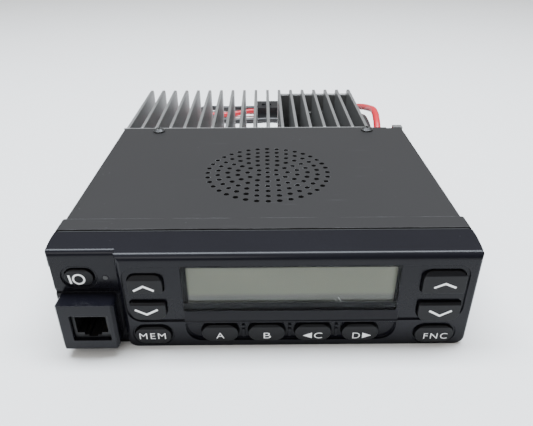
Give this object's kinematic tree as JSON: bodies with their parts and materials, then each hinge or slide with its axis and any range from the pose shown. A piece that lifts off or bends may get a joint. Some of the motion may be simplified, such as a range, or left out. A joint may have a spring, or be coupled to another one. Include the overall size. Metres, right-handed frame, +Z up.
{
  "type": "mobile radio transceiver",
  "caption": "Mobile radio transceiver: finned cast chassis, steel covers, front panel with sprung keys and a display, top speaker grille, and red and black DC leads.",
  "frame": {"origin": "middle of the box of the object without its DC leads, on the ground", "axes": "+X to the right as the user faces the front panel, +Y from the front panel to the heat sink, +Z up"},
  "size_m": [0.1606, 0.2956, 0.048],
  "materials": {
    "cast_aluminium": "as cast, fine grain",
    "cover_paint": "dark grey satin paint, fine scratches",
    "panel_plastic": "charcoal moulded plastic with a satin sheen",
    "gasket_rubber": "soft black rubber",
    "lens_clear": "clear acrylic",
    "display_face": "grey-green reflective display",
    "white_plastic": "white moulded plastic",
    "light_guide_acrylic": "frosted acrylic",
    "silicone_mat": "grey silicone",
    "circuit_board": "green solder resist",
    "zinc_steel": "zinc plated",
    "black_steel": "black oxide with worn edges",
    "jack_plastic": "black nylon",
    "gold_contacts": "gold flash over brass",
    "led_plastic": "diffused clear epoxy",
    "key_plastic": "black keys with white legends",
    "chip_epoxy": "black epoxy",
    "tinned_steel": "tin plated sheet",
    "capacitor_sleeve": "shrink sleeve",
    "flat_cable": "polyester",
    "speaker_steel": "stamped steel",
    "ferrite": "ferrite and steel",
    "speaker_paper": "coated paper cone",
    "speaker_felt": "thin black felt",
    "nickel": "nickel plated brass",
    "ptfe": "white insulator",
    "coax_jacket": "cable jacket",
    "lead_red": "red wire insulation",
    "lead_black": "black wire insulation"
  },
  "bodies": {
    "radio": {"chassis": "cast_aluminium", "heat_sink": "cast_aluminium", "sink_screws": "zinc_steel", "top_cover": "cover_paint", "bottom_cover": "cover_paint", "front_panel": "panel_plastic", "panel_gasket": "gasket_rubber", "lcd_lens": "lens_clear", "lcd_glass": "display_face", "lcd_holder": "white_plastic", "light_guide": "light_guide_acrylic", "key_mat": "silicone_mat", "display_board": "circuit_board", "display_screws": "zinc_steel", "mic_jack": "jack_plastic", "mic_jack_contacts": "gold_contacts", "led_lens": "led_plastic", "main_board": "circuit_board", "board_screws": "zinc_steel", "processor_chip": "chip_epoxy", "shield_can": "tinned_steel", "crystal_filter": "tinned_steel", "audio_amplifier": "chip_epoxy", "filter_capacitors": "capacitor_sleeve", "power_module": "chip_epoxy", "module_screws": "zinc_steel", "ribbon_cable": "flat_cable", "speaker_frame": "speaker_steel", "speaker_magnet": "ferrite", "speaker_cone": "speaker_paper", "speaker_cloth": "speaker_felt", "speaker_strap": "zinc_steel", "antenna_connector": "nickel", "antenna_insulator": "ptfe", "antenna_contact": "gold_contacts", "antenna_screws": "zinc_steel", "antenna_coax": "coax_jacket", "speaker_jack": "jack_plastic", "speaker_jack_nut": "nickel", "dc_grommet": "gasket_rubber", "dc_lead_red": "lead_red", "dc_lead_black": "lead_black", "dc_plug": "jack_plastic", "dc_plug_contacts": "tinned_steel", "top_screws": "black_steel", "bottom_screws": "black_steel"},
    "power_key": {"power_key": "key_plastic"},
    "mem_key": {"mem_key": "key_plastic"},
    "fnc_key": {"fnc_key": "key_plastic"},
    "left_up_key": {"left_up_key": "key_plastic"},
    "left_down_key": {"left_down_key": "key_plastic"},
    "right_up_key": {"right_up_key": "key_plastic"},
    "right_down_key": {"right_down_key": "key_plastic"},
    "key_a": {"key_a": "key_plastic"},
    "key_b": {"key_b": "key_plastic"},
    "key_c": {"key_c": "key_plastic"},
    "key_d": {"key_d": "key_plastic"}
  },
  "joints": [
    {"name": "power_press", "type": "slide", "parent": "radio", "child": "power_key", "axis": [0, 1, 0], "range_m": [0, 0.0008], "stiffness_N_per_m": 900},
    {"name": "mem_press", "type": "slide", "parent": "radio", "child": "mem_key", "axis": [0, 1, 0], "range_m": [0, 0.0008], "stiffness_N_per_m": 900},
    {"name": "fnc_press", "type": "slide", "parent": "radio", "child": "fnc_key", "axis": [0, 1, 0], "range_m": [0, 0.0008], "stiffness_N_per_m": 900},
    {"name": "left_up_press", "type": "slide", "parent": "radio", "child": "left_up_key", "axis": [0, 1, 0], "range_m": [0, 0.0008], "stiffness_N_per_m": 900},
    {"name": "left_down_press", "type": "slide", "parent": "radio", "child": "left_down_key", "axis": [0, 1, 0], "range_m": [0, 0.0008], "stiffness_N_per_m": 900},
    {"name": "right_up_press", "type": "slide", "parent": "radio", "child": "right_up_key", "axis": [0, 1, 0], "range_m": [0, 0.0008], "stiffness_N_per_m": 900},
    {"name": "right_down_press", "type": "slide", "parent": "radio", "child": "right_down_key", "axis": [0, 1, 0], "range_m": [0, 0.0008], "stiffness_N_per_m": 900},
    {"name": "a_press", "type": "slide", "parent": "radio", "child": "key_a", "axis": [0, 1, 0], "range_m": [0, 0.0008], "stiffness_N_per_m": 900},
    {"name": "b_press", "type": "slide", "parent": "radio", "child": "key_b", "axis": [0, 1, 0], "range_m": [0, 0.0008], "stiffness_N_per_m": 900},
    {"name": "c_press", "type": "slide", "parent": "radio", "child": "key_c", "axis": [0, 1, 0], "range_m": [0, 0.0008], "stiffness_N_per_m": 900},
    {"name": "d_press", "type": "slide", "parent": "radio", "child": "key_d", "axis": [0, 1, 0], "range_m": [0, 0.0008], "stiffness_N_per_m": 900}
  ]
}
